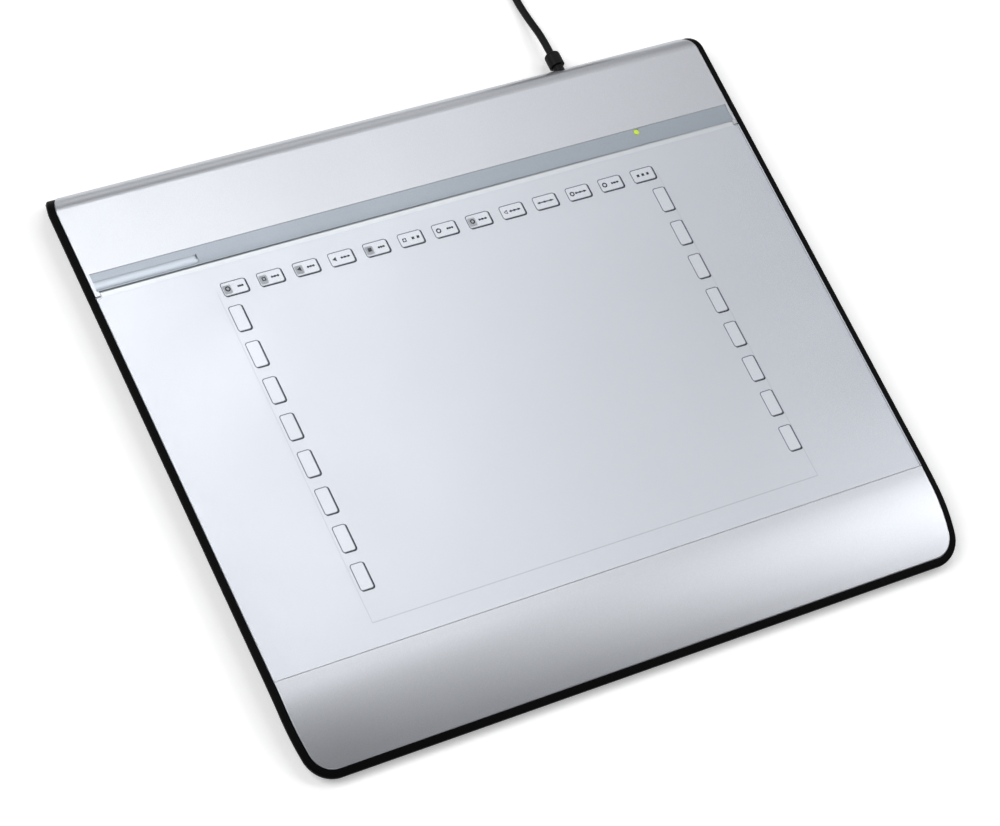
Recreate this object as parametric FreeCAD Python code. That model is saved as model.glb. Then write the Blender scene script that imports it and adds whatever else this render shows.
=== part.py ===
"""Graphics tablet with a lifting clear overlay, a curved palm rest and a USB cord.

Millimetres. X runs along the width, Y towards the cord side, Z up.
The origin is on the table, under the middle of the casing.
"""
import FreeCAD
import Part

import math
import os

V = FreeCAD.Vector

# Casing, outside
BODY_WIDTH = 303.4           # at the rear, where it is widest
BODY_DEPTH = 259.1
SIDE_TAPER = 0.0064          # each side draws in by this much per mm towards the front
CASE_HEIGHT = 9.0
FOOT_PROUD = 1.0
PALM_DEPTH = 40.6            # front lip to the seam in front of the overlay
PALM_RADIUS = 156.0          # the palm rest curves down at this radius
ROLL_RADIUS = 9.0            # the rear edge rolls down at this radius
FRONT_CORNER_RADIUS = 12.7
SIDE_SWEEP_RADIUS = 100.0    # long bend that leads each side into its front corner
SIDE_SWEEP_ANGLE = math.radians(11.0)
BACK_CORNER_RADIUS = 15.0
BACK_OVERRUN = 5.0           # the plan outline passes this far behind the roll

# Black edge of the lower case
SIDE_LIP = 3.0
LIP_DROP = 0.3
LIP_THICK = 2.25
LIP_ROUND = 0.8
LIP_BACK_HEIGHT = 3.0        # its lower edge at the rear, above the table
DISH_INSET = 7.6             # how far the flat underside lies inside the lip
DISH_BACK_INSET = 3.5        # less of that at the back
SOLE_ROUND = 2.0
FLOOR_WALL = 1.8
ROOT = 0.5                   # ribs and posts start this far inside what they stand on
WALL_AT_FLOOR = 2.2
WALL_AT_LEDGE = 2.6
LEDGE_WIDTH = 1.25
CAVITY_BACK_LOW = 5.6        # inner face of the rear wall, from the rear, at the floor
CAVITY_BACK_HIGH = 2.9       # and above the wall

# Silver cover
COVER_WALL = 1.5
COVER_RIM_ROUND = 0.4
COVER_FIT = 0.1
COVER_SIDE_FIT = 0.15
COVER_BACK_HEIGHT = 4.5      # lower edge of its rear wall, above the table

# Drawing area
ACTIVE_TO_SIDE = 50.1
ACTIVE_TO_SEAM = 10.0
ACTIVE_TO_STRIP = 9.6
OVERLAY_THICK = 0.8
OVERLAY_SIDE_FIT = 0.25      # to the inner wall of the lip
SEAM_GAP = 0.3
SHEET_GAP = 0.08
KEY_SHEET_THICK = 0.2
KEY_SHEET_FIT = 0.3
PAN_WALL = 1.4
PAN_SIDE_FIT = 0.2           # its box beside the ledge of the lower case

# Overlay hinge
BEAD_RADIUS = 0.6
BEAD_CLEARANCE = 0.3
PIN_RADIUS = 0.4
PIN_LENGTH = 1.5
PIN_CLEARANCE = 0.15
CHEEK_WIDTH = 2.2            # the cover's pivot cheek at each end of the bead
CHEEK_REACH = 1.1            # in front of the hinge axis
CHEEK_CLEARANCE = 0.4

# Pen rest strip across the cover
REAR_BAND_DEPTH = 38.6       # strip to the rear of the casing
STRIP_DEPTH = 7.9
STRIP_HEIGHT = 2.7
STRIP_HOLLOW = 0.6
STRIP_LAND = 0.3
STRIP_FIT = 0.1
STRIP_END_RIM = 1.5          # silver left beyond each end
CHANNEL_WALL = 1.1
CHANNEL_SIDE_INSET = 5.6
GROOVE_WIDTH = 4.6
GROOVE_BELOW_TOP = 1.6
GROOVE_TO_FRONT = 1.1        # its middle in front of the strip's middle
GROOVE_LENGTH = 42.6
NOTCH = (0.6, 2.0)           # slot at the groove's end
NOTCH_FLOOR = 0.4
LIGHT_FROM_SIDE = 49.8
LIGHT_FROM_STRIP_BACK = 1.6
LIGHT_RADIUS = 1.3
LIGHT_FIT = 0.05
LIGHT_PROUD = 0.15

# Screws and feet
SCREW_FROM_SIDE = 20.7
SCREW_FRONT = 20.2           # from the front lip
SCREW_BACK = 20.1            # from the rear of the casing
SCREW_RADIUS = 1.3
SCREW_HEAD_RADIUS = 2.5
SCREW_HEAD = 1.7
SCREW_FIT = 0.1
SCREW_REACH = 4.4
POST_RADIUS = 3.7
POST_TOP = 5.6
HEAD_SEAT = 3.4
BOSS_RADIUS = 3.0
BOSS_GAP = 0.1
FOOT_RADIUS = 7.0
FOOT_RECESS = 0.8
FOOT_FIT = 0.1
FOOT_CHAMFER = 0.5
FOOT_FROM_SIDE = 33.7
FOOT_FRONT = 27.2
FOOT_BACK = 14.5

# Sensor stack under the drawing area
BOARD_SIDE_MARGIN = 9.0
BOARD_FRONT_MARGIN = 8.0
BOARD_BACK_MARGIN = 4.0
SENSOR_THICK = 1.0
FILM_THICK = 0.15
SHIELD_THICK = 0.5
SHIELD_INSET = 3.0
SHIELD_SHORT = 10.0          # the shield stops short of the ribbon connector
FILM_INSET = 1.0
STACK_GAP = 0.04
RIB_WALL = 1.2
RIB_END = 5.6                # outermost ribs inside the drawing area
RIB_GAP = 0.1

# Controller board under the rear band
BOARD_FROM_SIDE = 39.7
BOARD_WIDTH = 72.0
BOARD_FROM_BACK = 11.0
BOARD_DEPTH = 32.0
BOARD_THICK = 1.2
BOARD_Z = 4.2
STANDOFF_RADIUS = 2.5
STANDOFF_INSET = 4.0
STANDOFF_FRONT_INSET = 11.0
BOARD_SCREW_RADIUS = 0.9
BOARD_SCREW_HEAD_RADIUS = 1.8
BOARD_SCREW_HEAD = 1.2
BOARD_SCREW_REACH = 2.2
RIBBON_ON_BOARD = 26.0       # ribbon's middle from the board's left edge
RIBBON_WIDTH = 26.0
RIBBON_THICK = 0.3
RIBBON_LIFT = 0.1
RIBBON_FIT = 0.03            # in the slots of its sockets
RIBBON_SIDE_FIT = 0.1
RIBBON_SHORT = 1.0           # its ends inside the far faces of the sockets
SOCKET_MARGIN = 3.0
SOCKET_DEPTH = 5.0
SOCKET_BELOW = 0.8           # sensor socket below the ribbon
SOCKET_ABOVE = 1.2           # board socket above the ribbon
SOCKET_FROM_EDGE = 1.0       # sensor socket inside the rear edge of its board
SOCKET_FROM_CHANNEL = 2.0    # board socket behind the strip's channel

# Components on the controller board; places are from its left and rear edges
CHIP_HEIGHT = 1.4
CHIP_STAND = 0.1
CHIP_PITCH = 1.27
CHIP_LEG_REACH = 1.0
CHIP_LEG_THICK = 0.25
CONTROLLER_CHIP_PLACE = (30.0, 8.0)
CONTROLLER_CHIP_SIZE = (12.0, 8.0)
MEMORY_CHIP_PLACE = (13.0, 8.0)
MEMORY_CHIP_SIZE = (5.0, 4.0)
CRYSTAL_PLACE = (59.0, 15.3)
CRYSTAL_SIZE = (8.0, 3.4, 2.4)
CRYSTAL_ROUND = 1.6
CAPACITOR_PLACE = (44.0, 20.0)
CAPACITOR_SIZE = (2.0, 1.2, 0.9)
CAPACITOR_PITCH = 3.5
CAPACITOR_STAGGER = 2.5
LED_SIZE = (1.6, 1.0)
HEADER_SIZE = (8.0, 4.5, 3.0)
HEADER_FROM_BACK = 0.5
HEADER_WALL = 0.8
HEADER_SLOT = 0.8
HEADER_SLOT_FLOOR = 1.0
WIRE_RADIUS = 0.4
WIRE_PITCH = 1.25

# USB cord
CORD_FROM_SIDE = 66.4
CORD_Z = 5.2
CORD_DIAMETER = 3.2
BOOT_NECK_RADIUS = 2.3
BOOT_HOLE_FIT = 0.1
BOOT_RADIUS = 3.4
BOOT_GAP = 0.9               # casing to the thick part of the boot
BOOT_BODY = 6.5
BOOT_EDGE_ROUND = 0.3        # at the case
BOOT_SHOULDER_ROUND = 1.3    # round the cord
BOOT_FLANGE = (8.0, 1.3, 4.6)
STOP_FIT = 0.3               # ribs that trap the flange, beside the neck
STOP_WIDTH = 1.8
STOP_ABOVE = 2.0             # their tops above the middle of the cord
CORD_REST_Z = 1.65
CORD_RUN = 56.0              # boot to coil
COIL_RADIUS = 28.6
COIL_PITCH = 3.7
COIL_HALF_TURNS = 11         # before it climbs to its second layer
TIE_WIDTH = 6.0
TIE_WALL = 0.7
TIE_SLACK = 0.35
TIE_ANGLE = 45.0
TIE_ROUND = 1.2
TIE_INNER_REACH = 5.4        # past the middle of the innermost turn
TAIL_RUN = 14.0
PLUG_BODY = (12.0, 22.0, 8.0)
PLUG_STATIONS = ((0.0, 0.6, 0.75), (0.25, 0.9, 1.0), (1.0, 1.17, 1.0))   # shares of those
PLUG_CORNER = 2.0
PLUG_SLEEVE = 3.0
PLUG_SLEEVE_RADIUS = 2.6
PLUG_GAP = 0.4               # plug above the turns that it lies on
PLUG_SHELL = (12.0, 18.8, 4.5)
PLUG_SHELL_WALL = 0.3
PLUG_SHELL_SHOWN = 12.0
PLUG_FIT = 0.05
PLUG_WINDOW = 2.5
PLUG_WINDOW_ASIDE = 2.9
PLUG_WINDOW_FROM_END = 5.1
TONGUE_THICK = 1.8
TONGUE_SHORT = 0.4           # inside the open end of the shell
TONGUE_BASE_SHOWN = 2.0
CONTACT_SIZE = (1.0, 6.6, 0.25)
CONTACT_FROM_END = 1.2
CONTACT_ASIDE = (-3.5, -1.0, 1.0, 3.5)

BODY_FRONT = -BODY_DEPTH / 2
BODY_BACK = BODY_DEPTH / 2
BASE_Z = FOOT_PROUD
TOP = FOOT_PROUD + CASE_HEIGHT
FLOOR_Z = BASE_Z + FLOOR_WALL
SEAM_Y = BODY_FRONT + PALM_DEPTH
ROLL_Y = BODY_BACK - ROLL_RADIUS + LIP_DROP
ROLL_Z = TOP - ROLL_RADIUS
PLAN_BACK = BODY_BACK + BACK_OVERRUN
TAPER = math.atan(SIDE_TAPER)
STRIP_BACK = BODY_BACK - REAR_BAND_DEPTH
STRIP_FRONT = STRIP_BACK - STRIP_DEPTH
STRIP_BOTTOM = TOP - STRIP_HEIGHT
HINGE_Y = STRIP_FRONT - BEAD_RADIUS - BEAD_CLEARANCE
HINGE_Z = TOP - BEAD_RADIUS
PAN_Z = TOP - OVERLAY_THICK - SHEET_GAP - KEY_SHEET_THICK
PAN_UNDER = PAN_Z - COVER_WALL
COVER_UNDER = TOP - COVER_WALL
LIP_INSET = SIDE_LIP - COVER_SIDE_FIT
LEDGE_INSET = LIP_INSET + LEDGE_WIDTH
DISH_RISE = DISH_INSET - 0.9
DISH_TOP = BASE_Z + DISH_RISE
CHANNEL_Z = STRIP_BOTTOM - STRIP_FIT
CHANNEL_UNDER = CHANNEL_Z - CHANNEL_WALL
ACTIVE_HALF = BODY_WIDTH / 2 - ACTIVE_TO_SIDE
ACTIVE_FRONT = SEAM_Y + ACTIVE_TO_SEAM
ACTIVE_BACK = STRIP_FRONT - ACTIVE_TO_STRIP
SENSOR_Z = PAN_UNDER - STACK_GAP - SENSOR_THICK
FILM_Z = SENSOR_Z - STACK_GAP - FILM_THICK
SHIELD_Z = FILM_Z - STACK_GAP - SHIELD_THICK
BOARD_BACK = BODY_BACK - BOARD_FROM_BACK
BOARD_FRONT = BOARD_BACK - BOARD_DEPTH
BOARD_TOP = BOARD_Z + BOARD_THICK
LIGHT_X = BODY_WIDTH / 2 - LIGHT_FROM_SIDE
LIGHT_Y = STRIP_BACK - LIGHT_FROM_STRIP_BACK
SCREW_X = BODY_WIDTH / 2 - SCREW_FROM_SIDE
FOOT_X = BODY_WIDTH / 2 - FOOT_FROM_SIDE
BOARD_X = BODY_WIDTH / 2 - BOARD_FROM_SIDE - BOARD_WIDTH
RIBBON_X = BOARD_X + RIBBON_ON_BOARD
CORD_X = BODY_WIDTH / 2 - CORD_FROM_SIDE
RIBBON_Z = BOARD_TOP + RIBBON_LIFT
BOOT_START = BODY_BACK + BOOT_GAP
BOOT_END = BOOT_START + BOOT_BODY
COIL_REST_Z = CORD_REST_Z + TIE_WALL + TIE_SLACK
COIL_START_Y = BOOT_END + CORD_RUN
COIL_Y = COIL_START_Y + CORD_DIAMETER
COIL_LAYERS_TOP = COIL_REST_Z + COIL_PITCH + CORD_DIAMETER / 2
PLUG_Z = COIL_LAYERS_TOP + PLUG_GAP + PLUG_BODY[2] / 2


def box(x0, x1, y0, y1, z0, z1):
    return Part.makeBox(x1 - x0, y1 - y0, z1 - z0, V(x0, y0, z0))


def post(x, y, z0, z1, radius):
    return Part.makeCylinder(radius, z1 - z0, V(x, y, z0))


def join(first, *others):
    return first.fuse(list(others)).removeSplitter()


def arc(at, radius, start, end):
    """Arc about a centre, from one angle to another; at(u, v) places a point."""
    middle = (start + end) / 2
    points = [at(radius * math.cos(a), radius * math.sin(a)) for a in (start, middle, end)]
    return Part.Arc(*points).toShape()


def line(a, b):
    return Part.LineSegment(a, b).toShape()


# Plan outline: everything seen from above is this outline, drawn in by an inset

def side_half(y):
    """Half the width of the casing at y, along the straight part of its sides."""
    return BODY_WIDTH / 2 - SIDE_TAPER * (BODY_BACK - y)


def plan_wire(inset, z, back_inset=None):
    """The outline drawn in by inset; its rear line may be set from the rear of the casing."""
    a = SIDE_SWEEP_ANGLE
    t = TAPER
    reach = SIDE_SWEEP_RADIUS - FRONT_CORNER_RADIUS
    corner_y = BODY_FRONT + FRONT_CORNER_RADIUS
    sweep_y = corner_y + reach * math.sin(a)
    sweep_x = side_half(sweep_y) - SIDE_SWEEP_RADIUS / math.cos(t)
    corner_x = sweep_x + reach * math.cos(a)
    corner_r = FRONT_CORNER_RADIUS - inset
    sweep_r = SIDE_SWEEP_RADIUS - inset
    back_r = BACK_CORNER_RADIUS - inset
    back_line = PLAN_BACK - inset if back_inset is None else BODY_BACK - back_inset
    back_y = back_line - back_r
    back_x = side_half(back_y) - BACK_CORNER_RADIUS / math.cos(t)

    def about(cx, cy):
        return lambda u, v: V(cx + u, cy + v, z)

    def on_side(side, cx, cy, r):
        return V(side * (cx + r * math.cos(t)), cy - r * math.sin(t), z)

    quarter = math.pi / 2
    half_turn = 2 * quarter
    edges = [
        line(V(-corner_x, corner_y - corner_r, z), V(corner_x, corner_y - corner_r, z)),
        arc(about(corner_x, corner_y), corner_r, -quarter, -a),
        arc(about(sweep_x, sweep_y), sweep_r, -a, -t),
        line(on_side(1, sweep_x, sweep_y, sweep_r), on_side(1, back_x, back_y, back_r)),
        arc(about(back_x, back_y), back_r, -t, quarter),
        line(V(back_x, back_line, z), V(-back_x, back_line, z)),
        arc(about(-back_x, back_y), back_r, quarter, half_turn + t),
        line(on_side(-1, back_x, back_y, back_r), on_side(-1, sweep_x, sweep_y, sweep_r)),
        arc(about(-sweep_x, sweep_y), sweep_r, half_turn + t, half_turn + a),
        arc(about(-corner_x, corner_y), corner_r, half_turn + a, 3 * quarter),
    ]
    return Part.Wire(edges)


def plan_prism(inset, z0, z1):
    return Part.Face(plan_wire(inset, z0)).extrude(V(0, 0, z1 - z0))


def plan_taper(inset0, back0, z0, inset1, back1, z1):
    """Loft between two outlines, each with its own inset at the sides and at the back."""
    return Part.makeLoft([plan_wire(inset0, z0, back0), plan_wire(inset1, z1, back1)], True, True)


# Side profile: palm rest arc, flat, rear roll, all offset inwards by a depth

PROFILE_FRONT = BODY_FRONT - 5.0


def top_z(y, depth):
    if y < SEAM_Y:
        r = PALM_RADIUS - depth
        return TOP - PALM_RADIUS + math.sqrt(r * r - (SEAM_Y - y) ** 2)
    if y > ROLL_Y:
        r = ROLL_RADIUS - depth
        return ROLL_Z + math.sqrt(max(r * r - (y - ROLL_Y) ** 2, 0.0))
    return TOP - depth


def profile_edges(depth, x):
    palm_r = PALM_RADIUS - depth
    start = math.pi / 2 + math.asin((SEAM_Y - PROFILE_FRONT) / palm_r)
    palm = arc(lambda u, v: V(x, SEAM_Y + u, TOP - PALM_RADIUS + v), palm_r, start, math.pi / 2)
    flat = line(V(x, SEAM_Y, TOP - depth), V(x, ROLL_Y, TOP - depth))
    roll = arc(lambda u, v: V(x, ROLL_Y + u, ROLL_Z + v), ROLL_RADIUS - depth, math.pi / 2, 0)
    return [palm, flat, roll]


def under_top(depth):
    """Everything below the top surface lowered by depth."""
    x = -BODY_WIDTH
    low = -10.0
    back = ROLL_Y + ROLL_RADIUS - depth
    edges = profile_edges(depth, x) + [
        line(V(x, back, ROLL_Z), V(x, back, low)),
        line(V(x, back, low), V(x, PROFILE_FRONT, low)),
        line(V(x, PROFILE_FRONT, low), V(x, PROFILE_FRONT, top_z(PROFILE_FRONT, depth))),
    ]
    return Part.Face(Part.Wire(edges)).extrude(V(2 * BODY_WIDTH, 0, 0))


def top_band(outer, inner):
    """Sheet between two depths below the top surface, ending where the roll is upright."""
    x = -BODY_WIDTH
    edges = profile_edges(outer, x)
    edges.append(line(V(x, ROLL_Y + ROLL_RADIUS - outer, ROLL_Z),
                      V(x, ROLL_Y + ROLL_RADIUS - inner, ROLL_Z)))
    edges += reversed(profile_edges(inner, x))
    edges.append(line(V(x, PROFILE_FRONT, top_z(PROFILE_FRONT, inner)),
                      V(x, PROFILE_FRONT, top_z(PROFILE_FRONT, outer))))
    wire = Part.Wire(Part.__sortEdges__(edges))
    return Part.Face(wire).extrude(V(2 * BODY_WIDTH, 0, 0))


def rim_edges(shape, depths):
    """Edges round the outline where the top surface, at one of the depths, meets the sides."""
    found = []
    for edge in shape.Edges:
        p = edge.valueAt((edge.FirstParameter + edge.LastParameter) / 2)
        ends = [v.Point for v in edge.Vertexes]
        spans = len(ends) == 2 and abs(ends[0].x - ends[1].x) > BODY_WIDTH / 2
        inside = abs(p.y) < BODY_BACK - BACK_CORNER_RADIUS and abs(p.x) < side_half(p.y) - SIDE_LIP - 1
        bottom = all(abs(q.z - p.z) < 1e-4 and q.y > ROLL_Y for q in ends)
        on_top = any(abs(p.z - top_z(p.y, d)) < 1e-3 for d in depths)
        crossing = spans and BODY_FRONT + SIDE_LIP + 1 < p.y < ROLL_Y + 1
        if on_top and not inside and not bottom and not crossing:
            found.append(edge)
    return found


# Casing

def lower_case():
    lip = top_band(LIP_DROP, LIP_DROP + LIP_THICK).common(plan_prism(0, -1, TOP + 1))
    lip = lip.cut(below_roll(LIP_BACK_HEIGHT))
    lip = lip.makeFillet(LIP_ROUND, rim_edges(lip, (LIP_DROP, LIP_DROP + LIP_THICK)))
    dish = plan_taper(DISH_INSET, DISH_BACK_INSET, BASE_Z,
                      DISH_INSET - DISH_RISE, DISH_BACK_INSET - DISH_RISE, DISH_TOP)
    sole_edges = [e for e in dish.Edges if all(abs(v.Z - BASE_Z) < 1e-6 for v in e.Vertexes)]
    dish = dish.makeFillet(SOLE_ROUND, sole_edges)
    dish = dish.common(under_top(LIP_DROP + LIP_THICK / 2))
    case = lip.fuse(dish)

    seat = plan_prism(LIP_INSET, 0, TOP + 1).cut(under_top(COVER_WALL + COVER_FIT))
    seat = seat.cut(below_roll(COVER_BACK_HEIGHT - COVER_FIT))
    floor_inset = DISH_INSET - FLOOR_WALL + WALL_AT_FLOOR
    wall_top = BASE_Z + DISH_INSET + WALL_AT_LEDGE - LEDGE_INSET
    cavity = plan_taper(floor_inset, CAVITY_BACK_LOW, FLOOR_Z, LEDGE_INSET, CAVITY_BACK_HIGH, wall_top)
    above = Part.Face(plan_wire(LEDGE_INSET, wall_top, CAVITY_BACK_HIGH)).extrude(V(0, 0, TOP))
    case = case.cut(seat.fuse(cavity.fuse(above)))

    case = join(case, *support_ribs(), *screw_posts(), *board_standoffs(), *boot_stops())
    for x, y in screw_places():
        case = case.cut(post(x, y, BASE_Z - 1, HEAD_SEAT, SCREW_HEAD_RADIUS + 3 * SCREW_FIT))
        case = case.cut(post(x, y, HEAD_SEAT - 1, POST_TOP + 1, SCREW_RADIUS + 2 * SCREW_FIT))
    for x, y in foot_places():
        case = case.cut(post(x, y, BASE_Z - 1, BASE_Z + FOOT_RECESS, FOOT_RADIUS + FOOT_FIT))
    for x, y in standoff_places():
        case = case.cut(post(x, y, BOARD_Z - BOARD_SCREW_REACH, BOARD_Z + 1,
                             BOARD_SCREW_RADIUS + BOOT_HOLE_FIT))
    return case.cut(boot_hole(BOOT_NECK_RADIUS, TOP)).removeSplitter()


def below_roll(z):
    """Everything under the rear roll, up to z."""
    return box(-BODY_WIDTH, BODY_WIDTH, ROLL_Y, PLAN_BACK + 1, -1, z)


def support_ribs():
    """Grid of ribs that carries the sensor stack."""
    z1 = SHIELD_Z - RIB_GAP
    half = ACTIVE_HALF
    back = ACTIVE_BACK - SHIELD_SHORT
    ribs = []
    for share in (-1.0, -0.5, 0.0, 0.5, 1.0):
        x = share * (half - RIB_END)
        ribs.append(box(x - RIB_WALL / 2, x + RIB_WALL / 2, ACTIVE_FRONT, back, FLOOR_Z - ROOT, z1))
    for share in (1 / 6, 1 / 2, 5 / 6):
        y = ACTIVE_FRONT + share * (back - ACTIVE_FRONT)
        ribs.append(box(-half, half, y - RIB_WALL / 2, y + RIB_WALL / 2, FLOOR_Z - ROOT, z1))
    return ribs


def screw_places():
    front = BODY_FRONT + SCREW_FRONT
    back = BODY_BACK - SCREW_BACK
    rows = [(x, y) for y in (front, back) for x in (-SCREW_X, 0.0, SCREW_X)]
    middle = (ACTIVE_FRONT + ACTIVE_BACK) / 2
    return rows + [(-SCREW_X, middle), (SCREW_X, middle)]


def screw_posts():
    return [post(x, y, BASE_Z, POST_TOP, POST_RADIUS) for x, y in screw_places()]


def foot_places():
    return [(side * FOOT_X, y) for y in (BODY_FRONT + FOOT_FRONT, BODY_BACK - FOOT_BACK)
            for side in (-1, 1)]


def standoff_places():
    xs = (BOARD_X + STANDOFF_INSET, BOARD_X + BOARD_WIDTH - STANDOFF_INSET)
    ys = (BOARD_FRONT + STANDOFF_FRONT_INSET, BOARD_BACK - STANDOFF_INSET)
    return [(x, y) for y in ys for x in xs]


def board_standoffs():
    return [post(x, y, FLOOR_Z - ROOT, BOARD_Z, STANDOFF_RADIUS) for x, y in standoff_places()]


def boot_flange_y():
    """Front face of the boot's flange, against the rear wall inside the case."""
    return BODY_BACK - CAVITY_BACK_LOW - BOOT_FLANGE[1]


def boot_stops():
    """Two ribs that trap the flange of the cord's boot."""
    y1 = boot_flange_y() - BOOT_HOLE_FIT
    ribs = []
    for side in (-1, 1):
        near = BOOT_NECK_RADIUS + STOP_FIT
        x0, x1 = sorted((CORD_X + side * near, CORD_X + side * (near + STOP_WIDTH)))
        ribs.append(box(x0, x1, y1 - RIB_WALL, y1, FLOOR_Z - ROOT, CORD_Z + STOP_ABOVE))
    return ribs


def boot_hole(radius, top):
    """Round hole for the boot's neck, open upwards to top or downwards to it."""
    radius += BOOT_HOLE_FIT
    y0 = boot_flange_y() - 0.5
    hole = Part.makeCylinder(radius, BODY_BACK + 5 - y0, V(CORD_X, y0, CORD_Z), V(0, 1, 0))
    z0, z1 = sorted((CORD_Z, top))
    return hole.fuse(box(CORD_X - radius, CORD_X + radius, y0, BODY_BACK + 5, z0, z1))


def upper_cover():
    cover = top_band(0, COVER_WALL).common(plan_prism(SIDE_LIP, -1, TOP + 1))
    cover = cover.cut(below_roll(COVER_BACK_HEIGHT))
    cover = cover.makeFillet(COVER_RIM_ROUND, rim_edges(cover, (0,)))

    skin = COVER_UNDER + 0.1
    pan = across(LEDGE_INSET + PAN_SIDE_FIT, SEAM_Y - PAN_WALL, STRIP_FRONT, PAN_UNDER, skin)
    channel = across(CHANNEL_SIDE_INSET, HINGE_Y - BEAD_RADIUS - PAN_WALL, STRIP_BACK + PAN_WALL,
                     CHANNEL_UNDER, skin)
    cover = join(cover, pan, channel, *cover_bosses())

    cheek = cheek_x()
    strip_end = strip_half() + STRIP_FIT
    recess = box(-BODY_WIDTH, BODY_WIDTH, SEAM_Y, HINGE_Y - CHEEK_REACH, PAN_Z, TOP + 1)
    between = box(-cheek, cheek, HINGE_Y - CHEEK_REACH - 1, HINGE_Y, PAN_Z, TOP + 1)
    bead_r = BEAD_RADIUS + BEAD_CLEARANCE
    mouth = box(-cheek, cheek, HINGE_Y, STRIP_FRONT, HINGE_Z - BEAD_RADIUS, TOP + 1)
    groove = box(-strip_end, strip_end, STRIP_FRONT - STRIP_FIT, STRIP_BACK + STRIP_FIT,
                 CHANNEL_Z, TOP + 1)
    light = post(LIGHT_X, LIGHT_Y, CHANNEL_UNDER - 1, TOP, LIGHT_RADIUS + LIGHT_FIT)
    for tool in (recess, between, hinge_rod(bead_r, cheek), mouth,
                 hinge_rod(PIN_RADIUS + PIN_CLEARANCE, cheek + PIN_LENGTH + PIN_CLEARANCE),
                 groove, light):
        cover = cover.cut(tool)
    for x, y in screw_places():
        pilot = HEAD_SEAT + SCREW_REACH + 2 * SCREW_FIT
        cover = cover.cut(post(x, y, POST_TOP, pilot, SCREW_RADIUS + SCREW_FIT / 2))
    return cover.cut(boot_hole(BOOT_NECK_RADIUS, 0)).removeSplitter()


def across(inset, y0, y1, z0, z1):
    """Block from side to side, drawn in from the outline by inset."""
    return plan_prism(inset, z0, z1).common(box(-BODY_WIDTH, BODY_WIDTH, y0, y1, z0, z1))


def cheek_x():
    """Inner face of the pivot cheeks."""
    return side_half(HINGE_Y) - SIDE_LIP - CHEEK_WIDTH


def hinge_rod(radius, half):
    return Part.makeCylinder(radius, 2 * half, V(-half, HINGE_Y, HINGE_Z), V(1, 0, 0))


def strip_half():
    return side_half(STRIP_FRONT) - SIDE_LIP - STRIP_END_RIM


def cover_bosses():
    """Bosses that take the case screws, from the posts up to the cover."""
    return [post(x, y, POST_TOP + BOSS_GAP, top_z(y, COVER_WALL / 2), BOSS_RADIUS)
            for x, y in screw_places()]


def pen_rest_strip():
    """Grey insert with a shallow hollow for the pen and a deeper groove at its left."""
    front = STRIP_FRONT
    back = STRIP_BACK - STRIP_FIT
    middle = (front + back) / 2
    half = (back - front) / 2 - STRIP_LAND
    x = -strip_half()
    edges = [
        line(V(x, front, TOP), V(x, front, STRIP_BOTTOM)),
        line(V(x, front, STRIP_BOTTOM), V(x, back, STRIP_BOTTOM)),
        line(V(x, back, STRIP_BOTTOM), V(x, back, TOP)),
        line(V(x, back, TOP), V(x, middle + half, TOP)),
        Part.Arc(V(x, middle + half, TOP), V(x, middle, TOP - STRIP_HOLLOW),
                 V(x, middle - half, TOP)).toShape(),
        line(V(x, middle - half, TOP), V(x, front, TOP)),
    ]
    strip = Part.Face(Part.Wire(edges)).extrude(V(-2 * x, 0, 0))
    groove_r = GROOVE_WIDTH / 2
    groove_y = middle - GROOVE_TO_FRONT
    groove_z = TOP - GROOVE_BELOW_TOP + groove_r
    end = x + GROOVE_LENGTH
    groove = Part.makeCylinder(groove_r, GROOVE_LENGTH, V(x, groove_y, groove_z), V(1, 0, 0))
    groove_end = Part.makeSphere(groove_r, V(end, groove_y, groove_z))
    notch_x, notch_y = NOTCH
    notch = box(end + groove_r / 2, end + groove_r / 2 + notch_x, middle - notch_y / 2,
                middle + notch_y / 2, STRIP_BOTTOM + NOTCH_FLOOR, TOP)
    light = post(LIGHT_X, LIGHT_Y, STRIP_BOTTOM - 1, TOP, LIGHT_RADIUS + LIGHT_FIT)
    for tool in (groove, groove_end, notch, light):
        strip = strip.cut(tool)
    return strip


def strip_surface_z(y):
    """Height of the strip's hollow at y."""
    middle = (STRIP_FRONT + STRIP_BACK - STRIP_FIT) / 2
    half = (STRIP_DEPTH - STRIP_FIT) / 2 - STRIP_LAND
    r = (half * half + STRIP_HOLLOW * STRIP_HOLLOW) / (2 * STRIP_HOLLOW)
    return TOP - STRIP_HOLLOW + r - math.sqrt(r * r - (y - middle) ** 2)


def light_pipe():
    """Round lens of the status light, from just above the LED to the strip."""
    z0 = CHANNEL_UNDER + LIGHT_FIT
    z1 = strip_surface_z(LIGHT_Y) + LIGHT_PROUD
    pipe = post(LIGHT_X, LIGHT_Y, z0, z1, LIGHT_RADIUS)
    top_edges = [e for e in pipe.Edges if abs(e.CenterOfMass.z - z1) < 1e-6]
    return pipe.makeFillet(LIGHT_RADIUS / 4, top_edges)


def hotkey_sheet():
    """Printed sheet that lies in the pan under the clear overlay."""
    return across(LIP_INSET + KEY_SHEET_FIT, SEAM_Y + SEAM_GAP, HINGE_Y - CHEEK_REACH - KEY_SHEET_FIT,
                  PAN_Z, PAN_Z + KEY_SHEET_THICK)


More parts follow.
